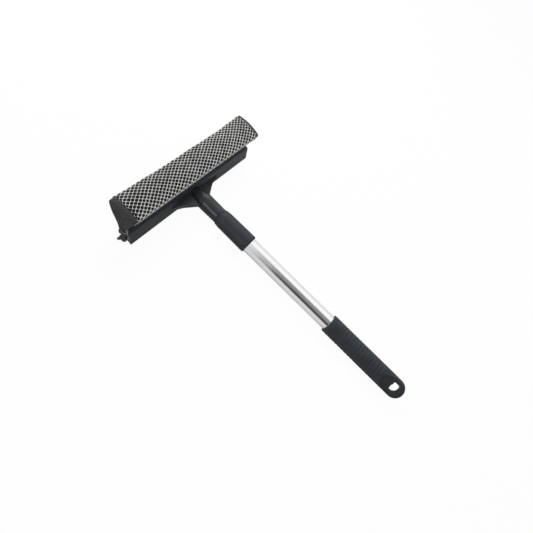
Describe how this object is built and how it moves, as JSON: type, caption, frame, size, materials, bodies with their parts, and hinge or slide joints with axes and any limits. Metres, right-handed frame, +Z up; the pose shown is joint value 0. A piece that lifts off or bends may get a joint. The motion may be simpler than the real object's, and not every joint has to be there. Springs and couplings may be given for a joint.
{
  "type": "window cleaning squeegee",
  "caption": "Hand squeegee for windows: a long head with a net-covered sponge on one side and a rubber blade on the other, on a telescopic twist-lock handle with a hanging hole.",
  "frame": {"origin": "centre of the bounding box, at the level of the grip's underside and the blade's edge, on which the tool lies", "axes": "+Y along the handle from the grip to the head, +Z up from the resting side towards the sponge's working face, +X along the head"},
  "size_m": [0.261, 0.4288, 0.0545],
  "materials": {
    "head_plastic": "satin",
    "sleeve_plastic": "satin",
    "grip_rubber": "matte",
    "blade_rubber": "satin",
    "foam": "matte",
    "net": "matte",
    "clamp_metal": "satin",
    "tube_chrome": "polished",
    "inner_aluminium": "satin",
    "lock_plastic": "matte",
    "cone_metal": "matte",
    "fastener": "satin",
    "plug_plastic": "matte"
  },
  "bodies": {
    "handle": {"outer_tube": "tube_chrome", "end_sleeve": "sleeve_plastic", "guide_bush": "lock_plastic", "tube_plug": "plug_plastic", "grip": "grip_rubber"},
    "expander": {"lock_dowel": "lock_plastic"},
    "head": {"head_frame": "head_plastic", "sponge": "foam", "sponge_net": "net", "sponge_clamp": "clamp_metal", "blade": "blade_rubber", "inner_tube": "inner_aluminium", "neck_screw": "fastener", "lock_spindle": "lock_plastic", "lock_nut": "fastener"},
    "cone": {"lock_cone": "cone_metal"}
  },
  "joints": [
    {"name": "telescope", "type": "slide", "parent": "handle", "child": "expander", "axis": [0, 1, 0], "range_m": [0, 0.22]},
    {"name": "head_twist", "type": "hinge", "parent": "expander", "child": "head", "pos_m": [0, 0, 0.01385], "axis": [0, 1, 0], "range_deg": [0, 270]},
    {"name": "cone_travel", "type": "slide", "parent": "expander", "child": "cone", "axis": [0, -1, 0], "range_m": [0, 0.0015]}
  ],
  "couplings": [
    {"joint": "cone_travel", "follows": "head_twist", "m_per_rad": 0.000318}
  ]
}
